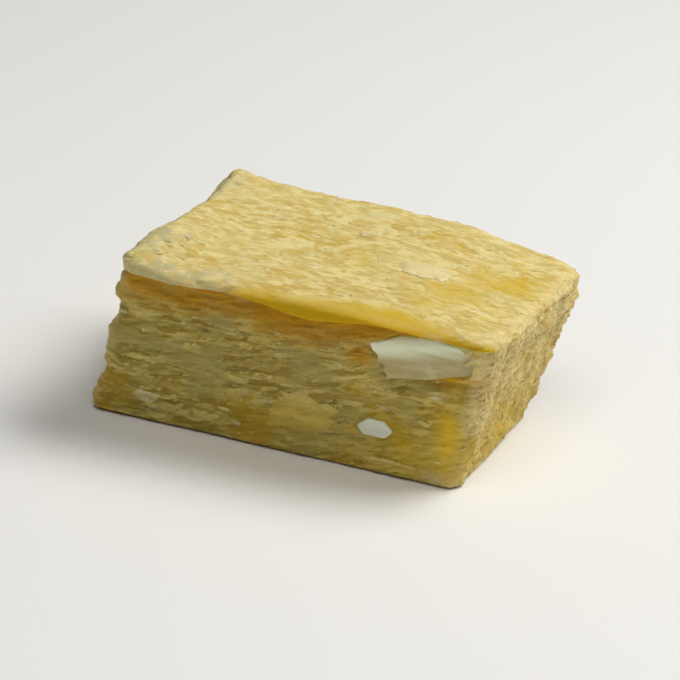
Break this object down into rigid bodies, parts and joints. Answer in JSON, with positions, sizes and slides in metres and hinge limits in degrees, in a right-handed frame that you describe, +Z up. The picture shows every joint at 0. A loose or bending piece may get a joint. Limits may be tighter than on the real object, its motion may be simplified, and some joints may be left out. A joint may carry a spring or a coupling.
{
  "type": "soan papdi",
  "caption": "Hand-cut block of pressed, layered, flaky yellow sweet with an overhanging top crust, torn flakes and chips of almond in its front face.",
  "frame": {"origin": "middle of the base, on the surface that the block rests on", "axes": "+X along the block's length towards its broken end, -Y towards its front with the almond chip, +Z up"},
  "size_m": [0.0512, 0.0386, 0.022],
  "materials": {
    "flaky_sweet": "waxy, fibrous and slightly translucent, with pale sugar flecks",
    "almond": "smooth, satin, cream white"
  },
  "bodies": {
    "root": {"papdi_block": "flaky_sweet", "almond_chip": "almond"}
  },
  "joints": []
}
